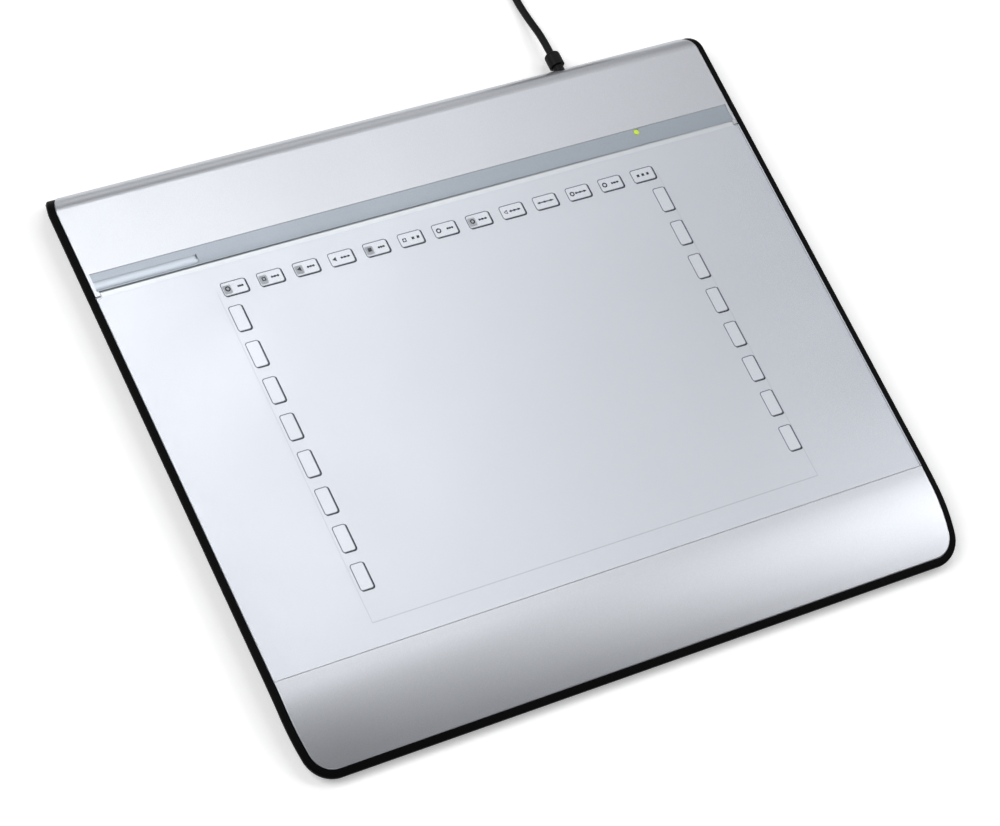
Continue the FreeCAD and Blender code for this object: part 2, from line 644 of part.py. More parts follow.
def overlay_flap():
    """Clear sheet with a round bead along its rear edge and a hinge pin at each end."""
    half = BODY_WIDTH / 2
    front = SEAM_Y + SEAM_GAP
    low = TOP - OVERLAY_THICK
    rise = low - HINGE_Z
    join_angle = math.pi - math.asin(rise / BEAD_RADIUS)
    meet = V(-half, HINGE_Y + BEAD_RADIUS * math.cos(join_angle), low)

    def around(u, v):
        return V(-half, HINGE_Y + u, HINGE_Z + v)

    edges = [
        line(V(-half, front, low), V(-half, front, TOP)),
        line(V(-half, front, TOP), V(-half, HINGE_Y, TOP)),
        arc(around, BEAD_RADIUS, math.pi / 2, join_angle - 2 * math.pi),
        line(meet, V(-half, front, low)),
    ]
    sheet = Part.Face(Part.Wire(edges)).extrude(V(2 * half, 0, 0))
    sheet = sheet.common(plan_prism(LIP_INSET + OVERLAY_SIDE_FIT, low - 1, TOP + 1))
    bead_end = cheek_x() - OVERLAY_SIDE_FIT
    swing = math.hypot(CHEEK_REACH, TOP - HINGE_Z) + CHEEK_CLEARANCE
    for x0, x1 in ((-half, -bead_end), (bead_end, half)):
        sheet = sheet.cut(box(x0, x1, HINGE_Y - swing, STRIP_FRONT, low - 1, TOP + 1))
    return sheet.fuse(hinge_rod(PIN_RADIUS, cheek_x() + PIN_LENGTH)).removeSplitter()


def rubber_feet():
    r = FOOT_RADIUS
    top = BASE_Z + FOOT_RECESS
    points = [V(0, 0, 0), V(r - FOOT_CHAMFER, 0, 0), V(r, 0, FOOT_CHAMFER), V(r, 0, top),
              V(0, 0, top), V(0, 0, 0)]
    foot = Part.Face(Part.makePolygon(points)).revolve(V(0, 0, 0), V(0, 0, 1), 360)
    return group(foot, foot_places())


def case_screws():
    """Pan-head screws with a cross recess, heads down in the underside."""
    head_z = HEAD_SEAT - SCREW_HEAD
    screw = post(0, 0, head_z, HEAD_SEAT, SCREW_HEAD_RADIUS)
    low = [e for e in screw.Edges if abs(e.CenterOfMass.z - head_z) < 1e-6]
    screw = screw.makeFillet(SCREW_HEAD / 3, low)
    screw = screw.fuse(post(0, 0, HEAD_SEAT - 0.2, HEAD_SEAT + SCREW_REACH, SCREW_RADIUS))
    arm = SCREW_HEAD_RADIUS * 0.6
    slot = SCREW_HEAD_RADIUS * 0.14
    depth = head_z + SCREW_HEAD / 2
    screw = screw.cut(box(-arm, arm, -slot, slot, head_z - 1, depth))
    screw = screw.cut(box(-slot, slot, -arm, arm, head_z - 1, depth))
    return group(screw.removeSplitter(), screw_places())


def group(solid, places):
    """One node of separate, identical solids."""
    copies = []
    for x, y in places:
        copy = solid.copy()
        copy.translate(V(x, y, 0))
        copies.append(copy)
    return Part.makeCompound(copies)


# Sensor stack

def sensor_sides():
    half = ACTIVE_HALF + BOARD_SIDE_MARGIN
    return half, ACTIVE_FRONT - BOARD_FRONT_MARGIN, ACTIVE_BACK + BOARD_BACK_MARGIN


def sensor_board():
    half, front, back = sensor_sides()
    return box(-half, half, front, back, SENSOR_Z, SENSOR_Z + SENSOR_THICK)


def insulating_film():
    half, front, back = sensor_sides()
    half -= FILM_INSET
    return box(-half, half, front + FILM_INSET, back - SHIELD_SHORT, FILM_Z, FILM_Z + FILM_THICK)


def shield_plate():
    half, front, back = sensor_sides()
    half -= SHIELD_INSET
    plate = box(-half, half, front + SHIELD_INSET, back - SHIELD_SHORT, SHIELD_Z,
                SHIELD_Z + SHIELD_THICK)
    upright = [e for e in plate.Edges if abs(e.tangentAt(e.FirstParameter).z) > 0.9]
    return plate.makeFillet(SHIELD_INSET, upright)


def ribbon_socket(y0, z0, z1):
    """Socket block with a slot through it for the flat ribbon."""
    half = RIBBON_WIDTH / 2 + SOCKET_MARGIN
    block = box(RIBBON_X - half, RIBBON_X + half, y0, y0 + SOCKET_DEPTH, z0, z1)
    half = RIBBON_WIDTH / 2 + RIBBON_SIDE_FIT
    return block.cut(box(RIBBON_X - half, RIBBON_X + half, y0 - 1, y0 + SOCKET_DEPTH + 1,
                         RIBBON_Z - RIBBON_FIT, RIBBON_Z + RIBBON_THICK + RIBBON_FIT))


def sensor_socket_y():
    return ACTIVE_BACK + BOARD_BACK_MARGIN - SOCKET_DEPTH - SOCKET_FROM_EDGE


def board_socket_y():
    return STRIP_BACK + PAN_WALL + SOCKET_FROM_CHANNEL


def ribbon_socket_sensor():
    return ribbon_socket(sensor_socket_y(), RIBBON_Z - SOCKET_BELOW, SENSOR_Z - STACK_GAP / 2)


def ribbon_socket_board():
    return ribbon_socket(board_socket_y(), BOARD_TOP, RIBBON_Z + RIBBON_THICK + SOCKET_ABOVE)


def flat_ribbon():
    y0 = sensor_socket_y() + RIBBON_SHORT
    y1 = board_socket_y() + SOCKET_DEPTH - RIBBON_SHORT
    return box(RIBBON_X - RIBBON_WIDTH / 2, RIBBON_X + RIBBON_WIDTH / 2, y0, y1,
               RIBBON_Z, RIBBON_Z + RIBBON_THICK)


# Controller board

def controller_board():
    board = box(BOARD_X, BOARD_X + BOARD_WIDTH, BOARD_FRONT, BOARD_BACK, BOARD_Z, BOARD_TOP)
    for x, y in standoff_places():
        board = board.cut(post(x, y, BOARD_Z - 1, BOARD_TOP + 1, BOARD_SCREW_RADIUS + SCREW_FIT))
    return board


def board_screws():
    screw = post(0, 0, BOARD_TOP, BOARD_TOP + BOARD_SCREW_HEAD, BOARD_SCREW_HEAD_RADIUS)
    top = [e for e in screw.Edges if abs(e.CenterOfMass.z - BOARD_TOP - BOARD_SCREW_HEAD) < 1e-6]
    screw = screw.makeFillet(BOARD_SCREW_HEAD / 3, top)
    tip = BOARD_Z - BOARD_SCREW_REACH + 0.2
    screw = screw.fuse(post(0, 0, tip, BOARD_TOP + 0.2, BOARD_SCREW_RADIUS))
    return group(screw.removeSplitter(), standoff_places())


def on_board(place, size, height):
    """Block on the controller board, its middle at a place from the left and rear edges."""
    x = BOARD_X + place[0]
    y = BOARD_BACK - place[1]
    return box(x - size[0] / 2, x + size[0] / 2, y - size[1] / 2, y + size[1] / 2,
               BOARD_TOP, BOARD_TOP + height)


def chip(place, size, legs_a_side):
    """Chip body with a row of legs along both long sides."""
    body = on_board(place, size, CHIP_HEIGHT)
    body = body.cut(on_board(place, size, CHIP_STAND))
    legs = []
    for i in range(legs_a_side):
        along = place[0] + (i - (legs_a_side - 1) / 2) * CHIP_PITCH
        legs.append(on_board((along, place[1]), (CHIP_PITCH / 2, size[1] + 2 * CHIP_LEG_REACH),
                             CHIP_LEG_THICK))
    return join(body, *legs)


def controller_chip():
    return chip(CONTROLLER_CHIP_PLACE, CONTROLLER_CHIP_SIZE, 9)


def memory_chip():
    return chip(MEMORY_CHIP_PLACE, MEMORY_CHIP_SIZE, 4)


def crystal():
    can = on_board(CRYSTAL_PLACE, CRYSTAL_SIZE, CRYSTAL_SIZE[2])
    upright = [e for e in can.Edges if abs(e.tangentAt(e.FirstParameter).z) > 0.9]
    return can.makeFillet(CRYSTAL_ROUND, upright)


def chip_capacitors():
    x, y = CAPACITOR_PLACE
    return Part.makeCompound([
        on_board((x + CAPACITOR_PITCH * i, y - CAPACITOR_STAGGER * (i % 2)), CAPACITOR_SIZE,
                 CAPACITOR_SIZE[2]) for i in range(4)])


def status_led():
    half_x, half_y = LED_SIZE[0] / 2, LED_SIZE[1] / 2
    top = CHANNEL_UNDER - STACK_GAP
    return box(LIGHT_X - half_x, LIGHT_X + half_x, LIGHT_Y - half_y, LIGHT_Y + half_y, BOARD_TOP, top)


def header_back():
    return BOARD_BACK - HEADER_FROM_BACK


def wire_header():
    """Header block with a slot behind its front wall."""
    width, depth, height = HEADER_SIZE
    x0 = CORD_X - width / 2
    y0 = header_back() - depth
    block = box(x0, x0 + width, y0, header_back(), BOARD_TOP, BOARD_TOP + height)
    slot = box(x0 + HEADER_WALL, x0 + width - HEADER_WALL, y0 + HEADER_WALL,
               y0 + HEADER_WALL + HEADER_SLOT, BOARD_TOP + HEADER_SLOT_FLOOR, BOARD_TOP + height + 1)
    return block.cut(slot)


def cord_wires():
    """The cord's four wires, from the boot to the header on the board."""
    y0 = header_back()
    y1 = boot_flange_y()
    z0 = BOARD_TOP + HEADER_SIZE[2] / 2
    run = (y1 - y0) / 3
    wires = []
    for i in range(4):
        x = CORD_X + (i - 1.5) * WIRE_PITCH
        route = [V(x, y0, z0), V(x, y0 + run, z0), V(x, y1 - run, CORD_Z), V(x, y1, CORD_Z)]
        wires.append(tube(route, WIRE_RADIUS))
    return Part.makeCompound(wires)


# USB cord

def rounded_route(points, report=None):
    """Straight runs joined by arcs as large as the runs allow."""
    edges = []
    start = points[0]
    for i in range(1, len(points) - 1):
        before = points[i] - points[i - 1]
        after = points[i + 1] - points[i]
        turn = before.getAngle(after)
        reach = 0.45 * min(before.Length, after.Length)
        radius = reach / math.tan(turn / 2)
        into = points[i] - before.normalize() * reach
        out = points[i] + after.normalize() * reach
        bisector = (into + out) * 0.5 - points[i]
        to_arc = radius / math.cos(turn / 2) - radius
        middle = points[i] + bisector.normalize() * to_arc
        edges.append(line(start, into))
        edges.append(Part.Arc(into, middle, out).toShape())
        start = out
        if report:
            print(report, "point", i, "turn %.1f radius %.1f" % (math.degrees(turn), radius))
    edges.append(line(start, points[-1]))
    return Part.Wire(edges)


def tube(points, radius, report=None):
    wire = rounded_route(points, report)
    circle = Part.Wire([Part.makeCircle(radius, points[0], points[1] - points[0])])
    pipe = wire.makePipeShell([circle], True, False)
    if report:
        ideal = math.pi * radius * radius * wire.Length
        print(report, "length %.1f volume ratio %.4f" % (wire.Length, pipe.Volume / ideal))
    return pipe


def strain_relief_boot():
    """Moulded boot: flange inside the case, neck through its wall, smooth body behind it."""
    width, depth, height = BOOT_FLANGE
    y0 = boot_flange_y()
    flange = box(CORD_X - width / 2, CORD_X + width / 2, y0, y0 + depth,
                 CORD_Z - height / 2, CORD_Z + height / 2)
    back = V(0, 1, 0)
    neck_start = y0 + depth / 2
    neck = Part.makeCylinder(BOOT_NECK_RADIUS, BOOT_START + BOOT_BODY / 2 - neck_start,
                             V(CORD_X, neck_start, CORD_Z), back)
    body = Part.makeCylinder(BOOT_RADIUS, BOOT_BODY, V(CORD_X, BOOT_START, CORD_Z), back)
    for y, radius in ((BOOT_START, BOOT_EDGE_ROUND), (BOOT_END, BOOT_SHOULDER_ROUND)):
        body = body.makeFillet(radius, [e for e in body.Edges if abs(e.CenterOfMass.y - y) < 1e-6])
    return join(body, neck, flange)


def cord_route():
    """From the boot down to the table and back to the coil."""
    z = CORD_REST_Z
    steps = [(0.0, 0.0, CORD_Z), (0.16, 0.0, CORD_Z), (0.34, -0.3, z + 1.3), (0.525, -0.6, z),
             (0.69, -0.4, z + 0.1), (0.845, 0.0, COIL_REST_Z), (1.0, 0.0, COIL_REST_Z)]
    return [V(CORD_X + aside, BOOT_END + share * CORD_RUN, z) for share, aside, z in steps]


def usb_cable():
    return tube(cord_route(), CORD_DIAMETER / 2, "cable")


def coil_half_turns():
    """Radius and climb of each half turn: in along the table, up a layer, and out on top."""
    inward = [COIL_RADIUS - k * COIL_PITCH / 2 for k in range(COIL_HALF_TURNS + 1)]
    outward = inward[-2::-1]
    level = [0.0] * (COIL_HALF_TURNS - 1)
    climbs = [0.0] + level + [COIL_PITCH] + level + [COIL_PITCH]
    return list(zip(inward + outward, climbs))


def arc_from(start, tangent, end):
    """Arc that leaves start along tangent and reaches end."""
    chord = end - start
    bend = tangent.getAngle(chord)
    side = tangent - chord * (tangent.dot(chord) / chord.dot(chord))
    middle = (start + end) * 0.5 + side.normalize() * (chord.Length / 2 * math.tan(bend / 2))
    return Part.Arc(start, middle, end).toShape()


def coil_wire():
    """Unbroken centre line of the coil, each half turn a pair of arcs."""
    entry = V(CORD_X, COIL_START_Y, COIL_REST_Z)
    at = V(CORD_X, COIL_Y, COIL_REST_Z)
    edges = [line(entry, at)]
    heading = 1.0
    for radius, climb in coil_half_turns():
        end = at + V(heading * 2 * radius, 0, climb)
        chord = end - at
        crest = at + chord * 0.5 + V(0, heading * chord.Length / 2, 0)
        edges.append(arc_from(at, V(0, heading, 0), crest))
        edges.append(arc_from(crest, chord, end))
        at = end
        heading = -heading
    leave = at - V(0, CORD_DIAMETER, 0)
    edges.append(line(at, leave))
    return Part.Wire(edges), leave


def usb_cable_coil():
    wire, leave = coil_wire()
    circle = Part.Wire([Part.makeCircle(CORD_DIAMETER / 2, wire.Vertexes[0].Point, V(0, 1, 0))])
    coil = wire.makePipeShell([circle], True, False)
    ideal = math.pi * CORD_DIAMETER ** 2 / 4 * wire.Length
    print("coil length %.1f volume ratio %.4f" % (wire.Length, coil.Volume / ideal))
    print("coil least gap to itself %.2f" % coil_gap(wire))
    return coil


def coil_gap(wire):
    """Least gap between turns, measured on points along the centre line."""
    step = 1.0
    points = wire.discretize(int(wire.Length / step))
    skip = int(4 * CORD_DIAMETER / step)
    least = min((a - b).Length for i, a in enumerate(points) for b in points[i + skip:])
    return least - CORD_DIAMETER


def tail_route():
    """Half a turn back over the coil's top layer, to the plug that lies across it."""
    start = coil_wire()[1]
    x, y, z = start.x, start.y, start.z
    run = TAIL_RUN
    slant = run / math.sqrt(2)
    rise = PLUG_Z - z
    return [start, V(x, y - run, z), V(x - slant, y - run - slant, z + 0.25 * rise),
            V(x - slant - run, y - run - slant, z + 0.7 * rise),
            V(x - 2 * slant - run, y - run, PLUG_Z), V(x - 2 * slant - run, y, PLUG_Z)]


def usb_cable_tail():
    return tube(tail_route(), CORD_DIAMETER / 2, "tail")


def cord_tie():
    """Strap closed round one side of the coil, through its middle."""
    side = COIL_RADIUS - COIL_PITCH / 2 + CORD_DIAMETER / 2 + TIE_SLACK + TIE_WALL
    low = COIL_REST_Z - CORD_DIAMETER / 2 - TIE_SLACK - TIE_WALL
    high = COIL_LAYERS_TOP + TIE_SLACK + TIE_WALL
    inner = COIL_RADIUS - COIL_HALF_TURNS * COIL_PITCH / 2 - TIE_INNER_REACH
    outside = box(-side, -inner, -TIE_WIDTH / 2, TIE_WIDTH / 2, low, high)
    inside = box(-side + TIE_WALL, -inner - TIE_WALL, -TIE_WIDTH, TIE_WIDTH,
                 low + TIE_WALL, high - TIE_WALL)
    long_edges = [e for e in outside.Edges if abs(e.tangentAt(e.FirstParameter).y) > 0.9]
    strap = outside.makeFillet(TIE_ROUND, long_edges).cut(inside)
    strap.rotate(V(0, 0, 0), V(0, 0, 1), TIE_ANGLE)
    strap.translate(V(CORD_X + COIL_RADIUS, COIL_Y, 0))
    return strap


def plug_section(y, width, height):
    """Rounded rectangle square to the plug's axis."""
    p = tail_route()[-1]
    face = Part.makePlane(width, height, V(p.x - width / 2, y, p.z + height / 2), V(0, 1, 0),
                          V(1, 0, 0))
    block = face.extrude(V(0, 1, 0))
    along = [e for e in block.Edges if abs(e.tangentAt(e.FirstParameter).y) > 0.9]
    rounded = block.makeFillet(PLUG_CORNER, along)
    ends = [f for f in rounded.Faces if abs(f.CenterOfMass.y - y) < 1e-6]
    return ends[0].OuterWire


def usb_plug_body():
    """Moulded grip that widens to the shell, with a short sleeve round the cord."""
    width, length, height = PLUG_BODY
    p = tail_route()[-1]
    y0 = p.y + PLUG_SLEEVE
    sections = [plug_section(y0 + along * length, wide * width, high * height)
                for along, wide, high in PLUG_STATIONS]
    sleeve = Part.makeCylinder(PLUG_SLEEVE_RADIUS, PLUG_SLEEVE + 1, p, V(0, 1, 0))
    x0, x1, back, front, z0, z1 = plug_shell_sides()
    pocket = box(x0 - PLUG_FIT, x1 + PLUG_FIT, back - PLUG_FIT, front, z0 - PLUG_FIT, z1 + PLUG_FIT)
    return join(Part.makeLoft(sections, True, True), sleeve).cut(pocket)


def plug_shell_sides():
    p = tail_route()[-1]
    width, length, height = PLUG_SHELL
    front = p.y + PLUG_SLEEVE + PLUG_BODY[1] + PLUG_SHELL_SHOWN
    return (p.x - width / 2, p.x + width / 2, front - length, front,
            p.z - height / 2, p.z + height / 2)


def usb_plug_shell():
    """Folded steel shell with its four latch windows."""
    x0, x1, y0, y1, z0, z1 = plug_shell_sides()
    w = PLUG_SHELL_WALL
    shell = box(x0, x1, y0, y1, z0, z1).cut(box(x0 + w, x1 - w, y0 + w, y1 + 1, z0 + w, z1 - w))
    end = y1 - PLUG_WINDOW_FROM_END
    for side in (-1, 1):
        x = (x0 + x1) / 2 + side * PLUG_WINDOW_ASIDE
        shell = shell.cut(box(x - PLUG_WINDOW / 2, x + PLUG_WINDOW / 2, end - PLUG_WINDOW, end,
                              z0 - 1, z1 + 1))
    return shell


def usb_plug_tongue():
    x0, x1, y0, y1, z0, z1 = plug_shell_sides()
    gap = PLUG_SHELL_WALL + PLUG_FIT
    stop = y1 - PLUG_SHELL_SHOWN + TONGUE_BASE_SHOWN
    base = box(x0 + gap, x1 - gap, y0 + gap, stop, z0 + gap, z1 - gap)
    blade = box(x0 + gap, x1 - gap, y0 + gap, y1 - TONGUE_SHORT, z1 - gap - TONGUE_THICK, z1 - gap)
    return join(base, blade)


def usb_plug_contacts():
    x0, x1, y0, y1, z0, z1 = plug_shell_sides()
    z = z1 - PLUG_SHELL_WALL - PLUG_FIT - TONGUE_THICK
    width, length, thick = CONTACT_SIZE
    end = y1 - CONTACT_FROM_END
    lefts = [(x0 + x1 - width) / 2 + aside for aside in CONTACT_ASIDE]
    return Part.makeCompound([box(x, x + width, end - length, end, z - thick, z) for x in lefts])


NODES = {
    "lower_case": lower_case,
    "upper_cover": upper_cover,
    "pen_rest_strip": pen_rest_strip,
    "light_pipe": light_pipe,
    "hotkey_sheet": hotkey_sheet,
    "overlay_flap": overlay_flap,
    "rubber_feet": rubber_feet,
    "case_screws": case_screws,
    "sensor_board": sensor_board,
    "insulating_film": insulating_film,
    "shield_plate": shield_plate,
    "ribbon_socket_sensor": ribbon_socket_sensor,
    "ribbon_socket_board": ribbon_socket_board,
    "flat_ribbon": flat_ribbon,
    "controller_board": controller_board,
    "board_screws": board_screws,
    "controller_chip": controller_chip,
    "memory_chip": memory_chip,
    "crystal": crystal,
    "chip_capacitors": chip_capacitors,
    "status_led": status_led,
    "wire_header": wire_header,
    "cord_wires": cord_wires,
    "strain_relief_boot": strain_relief_boot,
    "usb_cable": usb_cable,
    "usb_cable_coil": usb_cable_coil,
    "usb_cable_tail": usb_cable_tail,
    "cord_tie": cord_tie,
    "usb_plug_body": usb_plug_body,
    "usb_plug_shell": usb_plug_shell,
    "usb_plug_tongue": usb_plug_tongue,
    "usb_plug_contacts": usb_plug_contacts,
}

os.makedirs("parts", exist_ok=True)
for name, make in NODES.items():
    shape = make()
    bounds = shape.BoundBox
    print("%-22s solids %d valid %s volume %.1f z %.2f..%.2f"
          % (name, len(shape.Solids), shape.isValid(), shape.Volume, bounds.ZMin, bounds.ZMax))
    shape.exportStep("parts/" + name + ".step")
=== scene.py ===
"""Looks of a graphics tablet: silver cover, clear overlay over a printed sheet, and a black USB cord."""

import math

import bmesh
import bpy
from mathutils import Matrix, Vector


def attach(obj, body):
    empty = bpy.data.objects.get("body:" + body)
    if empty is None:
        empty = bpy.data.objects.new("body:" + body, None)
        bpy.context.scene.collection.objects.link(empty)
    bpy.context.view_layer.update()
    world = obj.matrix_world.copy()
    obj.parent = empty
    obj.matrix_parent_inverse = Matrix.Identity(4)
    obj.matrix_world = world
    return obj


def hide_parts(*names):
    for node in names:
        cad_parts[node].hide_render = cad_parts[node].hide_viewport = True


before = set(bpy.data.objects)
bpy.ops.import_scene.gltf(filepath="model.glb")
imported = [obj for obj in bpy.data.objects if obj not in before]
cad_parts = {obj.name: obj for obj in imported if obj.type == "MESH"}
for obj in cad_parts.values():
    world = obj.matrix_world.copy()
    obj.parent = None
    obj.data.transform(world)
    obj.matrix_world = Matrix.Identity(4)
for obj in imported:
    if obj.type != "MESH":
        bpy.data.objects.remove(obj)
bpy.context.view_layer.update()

MM = 0.001                   # lengths below are in millimetres, except where metres are named

# Camera: its place, the point that it looks at, and its roll and width of field in degrees
CAMERA_AT = Vector((-567.34, -430.71, 1092.38)) * MM
CAMERA_AIM = Vector((-14.36, -13.31, 10.0)) * MM
CAMERA_ROLL = 31.13
CAMERA_FIELD = 17.37
CAMERA_SENSOR = 36.0
CAMERA_NEAR = 0.01           # in metres

# Overlay and strip, as the CAD has them
HINGE_MARGIN = 80.35         # from here back the overlay's top isn't clear
TOP_SKIN = 9.15              # the overlay's top and bead are above this, its underside below
HOLLOW_Z = 9.4               # bottom of the strip's hollow
GROOVE_DEPTH = 0.4           # the pen groove is at least this much deeper

# Print: the drawing area's frame and the key cells, from the middle of the casing
UNDER_Z = 9.13               # black under the key cells, just above the sheet
FILL_Z = 9.14                # white and grey of the key cells
TILE_Z = 9.145
INK_Z = 9.15
INK_STEP = 0.001             # between inks that cross
ACTIVE_WIDTH = 203.2
ACTIVE_FRONT = -78.95
PRINT_ASIDE = 0.3            # the print's middle, right of the casing's
FRONT_LINE_Y = ACTIVE_FRONT + 0.3
FRONT_LINE = 0.5             # widths of the frame's front line and side lines
FRONT_LINE_CORNER = 0.2
SIDE_LINE = 0.3
SIDE_LINE_CORNER = 0.14
SIDE_LINE_LENGTH = 149.0
TOP_CELLS_X = -93.65         # middle of the leftmost cell of the top row
TOP_CELLS_Y = ACTIVE_FRONT + 148.9
TOP_CELL_PITCH = 15.74
TOP_CELL = (10.7, 6.2)       # width and height
SIDE_CELLS_X = (-97.15, 98.6)
SIDE_CELLS_Y = ACTIVE_FRONT + 135.6
SIDE_CELL_PITCH = 16.63
SIDE_CELL = (5.8, 11.5)
SIDE_CELLS = 8
CORNER_STEPS = 4             # sides of each round corner
CELL_CORNER = 1.1
CELL_LINE = 0.33
CELL_RIM = 0.05              # black outside the grey line, at the left and the back
CELL_HEAVY_LINE = 0.6        # the black grows by this much towards the right and the front
TILE = (3.4, 3.9)            # tile under a mark, with its corners and its shift from the mark
TILE_CORNER = 0.5
TILE_SHIFT = (-0.2, -0.3)
MARK_LEFT = 2.892            # from the cell's middle to the mark
MARK_RADIUS = 1.2
MARK_HOLLOW = 0.6
BAR_END = 1.5                # from the bar to the cell's right end
BAR_WIDTH = 0.62
BAR_CORNER = 0.3
BAR_BLOBS = (-0.38, -0.05, 0.33)    # places of the blobs along the bar, as shares of its length
BLOB_RADIUS = 0.52
DOT_RADIUS = 0.85
DOT_PITCH = 2.3

# Cord, with the sizes of the CAD route
CORD_X = 85.3
CORD_RADIUS = 1.6
CORD_REST_Z = 1.65
CORD_RUN = 56.0
BOOT_END = (136.95, 5.2)     # where the cord leaves its strain relief: Y and Z
COIL_Y = BOOT_END[0] + CORD_RUN + 2 * CORD_RADIUS
COIL_RADIUS = 28.6
COIL_PITCH = 3.7
COIL_REST_Z = 2.7
COIL_HALF_TURNS = 11
COIL_STEPS = 6               # points to a half turn
TAIL_RUN = 14.0
PLUG_Z = 12.4                # middle of the plug, lying on the coil


# Camera

def place_camera():
    data = bpy.data.cameras.new("camera")
    data.sensor_width = CAMERA_SENSOR
    data.lens = CAMERA_SENSOR / 2 / math.tan(math.radians(CAMERA_FIELD / 2))
    data.clip_start = CAMERA_NEAR
    camera = bpy.data.objects.new("camera", data)
    bpy.context.scene.collection.objects.link(camera)
    turn = (CAMERA_AIM - CAMERA_AT).to_track_quat("-Z", "Y").to_matrix().to_4x4()
    roll = Matrix.Rotation(math.radians(CAMERA_ROLL), 4, "Z")
    camera.matrix_world = Matrix.Translation(CAMERA_AT) @ turn @ roll
    bpy.context.scene.camera = camera


place_camera()


# Node helpers

def rgb(code):
    """A colour written as sRGB hex, as the linear values that the shaders take."""
    channels = [int(code[i:i + 2], 16) / 255 for i in (1, 3, 5)]
    return tuple(c / 12.92 if c <= 0.04045 else ((c + 0.055) / 1.055) ** 2.4 for c in channels) + (1.0,)


def set_inputs(tree, node, inputs):
    """A node's inputs, each from a value or from another node's output."""
    for socket, value in inputs.items():
        if isinstance(value, bpy.types.NodeSocket):
            tree.links.new(value, node.inputs[socket])
        else:
            node.inputs[socket].default_value = value


def add(tree, kind, inputs=(), out=0, **settings):
    """A new node with its settings and inputs. Gives the output that out names."""
    made = tree.nodes.new(kind)
    for name, value in settings.items():
        setattr(made, name, value)
    set_inputs(tree, made, dict(inputs))
    return made.outputs[out]


def new_material(name):
    """An empty material, its tree, its main shader and its object coordinates."""
    made = bpy.data.materials.new(name)
    made.use_nodes = True
    tree = made.node_tree
    where = add(tree, "ShaderNodeTexCoord", out="Object")
    place = add(tree, "ShaderNodeMapping", {"Vector": where})
    return made, tree, tree.nodes["Principled BSDF"], place


# Materials

CLOUDS = {"From Min": 0.3, "From Max": 0.7}     # the values that most of a noise lies between
FLAKES = 0.8                 # metallic share of the pearl paints
FLAKE_SIZE = 0.16            # real flakes are some 0.03 mm, drawn coarser so that they show
PAINT_CLOUDS = 40.0
SHEEN = 0.05                 # share of the overlay's clear part that isn't see-through
CUT_EDGE = 0.5               # a side of the overlay rises less than this, as its normal's height
STRAP_RIB = 3.5
TRACK_PITCH = 6.0
DULL = {"Specular IOR Level": 0.15}    # soft black plastic of the cord and its ends


def plain(name, dark, light, roughness, grain_mm=0.4, depth_mm=0.004, metallic=0.0, broad_mm=30.0,
          more=()):
    """Two close colours that drift over broad_mm, with a grain of a given size and depth in relief."""
    made, tree, shader, place = new_material(name)
    drift = add(tree, "ShaderNodeTexNoise", {"Vector": place, "Scale": 1 / (broad_mm * MM)})
    grain = add(tree, "ShaderNodeTexNoise", {"Vector": place, "Scale": 1 / (grain_mm * MM), "Detail": 3.0})
    set_inputs(tree, shader, {
        "Base Color": add(tree, "ShaderNodeMix", {0: drift, 6: rgb(dark), 7: rgb(light)}, 2,
                          data_type="RGBA"),
        "Roughness": add(tree, "ShaderNodeMapRange", {
            "Value": drift, **CLOUDS, "To Min": roughness * 0.92, "To Max": roughness * 1.08}),
        "Metallic": metallic,
        "Normal": add(tree, "ShaderNodeBump", {"Height": grain, "Distance": depth_mm * MM}),
        **dict(more)})
    return made


def level_normal(tree, share):
    """The surface's own direction turned towards straight up, so that a hollow reads shallower."""
    own = add(tree, "ShaderNodeNewGeometry", out="Normal")
    less = add(tree, "ShaderNodeVectorMath", {0: own, "Scale": 1.0 - share}, operation="SCALE")
    both = add(tree, "ShaderNodeVectorMath", {0: less, 1: (0.0, 0.0, share)}, operation="ADD")
    return add(tree, "ShaderNodeVectorMath", {0: both}, operation="NORMALIZE")


def pearl(name, dark, light, roughness, grain_mm, depth_mm, level=0.0):
    """Coat with fine metal flakes: it mirrors the lamps as broad soft areas."""
    made, tree, shader, place = new_material(name)
    flakes = add(tree, "ShaderNodeTexVoronoi", {"Vector": place, "Scale": 1 / (FLAKE_SIZE * MM)},
                 "Distance")
    tint = add(tree, "ShaderNodeMapRange", {"Value": flakes, **CLOUDS})
    drift = add(tree, "ShaderNodeTexNoise", {"Vector": place, "Scale": 1 / (PAINT_CLOUDS * MM)})
    grain = add(tree, "ShaderNodeTexNoise", {"Vector": place, "Scale": 1 / (grain_mm * MM), "Detail": 1.0})
    relief = {"Height": grain, "Distance": depth_mm * MM}
    if level:
        relief["Normal"] = level_normal(tree, level)
    set_inputs(tree, shader, {
        "Base Color": add(tree, "ShaderNodeMix", {0: tint, 6: rgb(dark), 7: rgb(light)}, 2,
                          data_type="RGBA"),
        "Metallic": FLAKES,
        "Roughness": add(tree, "ShaderNodeMapRange", {
            "Value": drift, **CLOUDS, "To Min": roughness * 0.96, "To Max": roughness * 1.04}),
        "Normal": add(tree, "ShaderNodeBump", relief)})
    return made


def silver_paint():
    """Silver paint sprayed on ABS: satin, with the faint waviness of sprayed paint."""
    return pearl("silver_paint", "#B5B7BD", "#C4C7CC", 0.30, 1.1, 0.0012)


def key_sheet():
    """Polyester film printed with a warm pearl white, which the blue of the overlay cools."""
    return pearl("printed_pearl_film", "#D8D4D3", "#E5E2DE", 0.32, 0.5, 0.001)


def black_case():
    """Black ABS with the fine dull texture of a spark-eroded mould."""
    return plain("black_abs", "#040404", "#080808", 0.5, grain_mm=0.35, depth_mm=0.006,
                 more={"Specular IOR Level": 0.05})


